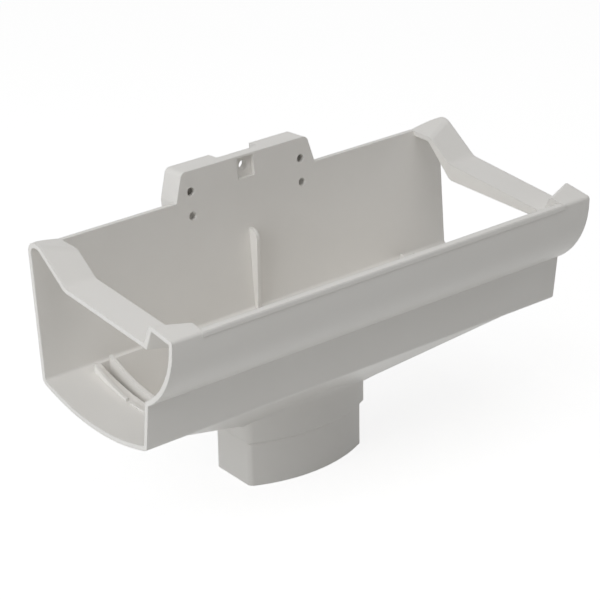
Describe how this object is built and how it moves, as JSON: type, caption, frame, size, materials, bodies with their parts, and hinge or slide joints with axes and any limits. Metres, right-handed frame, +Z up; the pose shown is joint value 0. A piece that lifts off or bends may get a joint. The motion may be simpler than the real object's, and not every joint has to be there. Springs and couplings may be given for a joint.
{
  "type": "gutter outlet",
  "caption": "Moulded drop outlet for an ogee gutter: open trough with end straps, sloping sump and D-shaped downpipe spigot.",
  "frame": {"origin": "centre of the spigot, 45 mm wide front to back, at the level of its rim", "axes": "+X along the gutter, +Y back to the fascia board, +Z up"},
  "size_m": [0.305, 0.1526, 0.1863],
  "materials": {
    "pvc": "semi-gloss moulded white PVC"
  },
  "bodies": {
    "root": {"gutter_outlet": "pvc"}
  },
  "joints": []
}
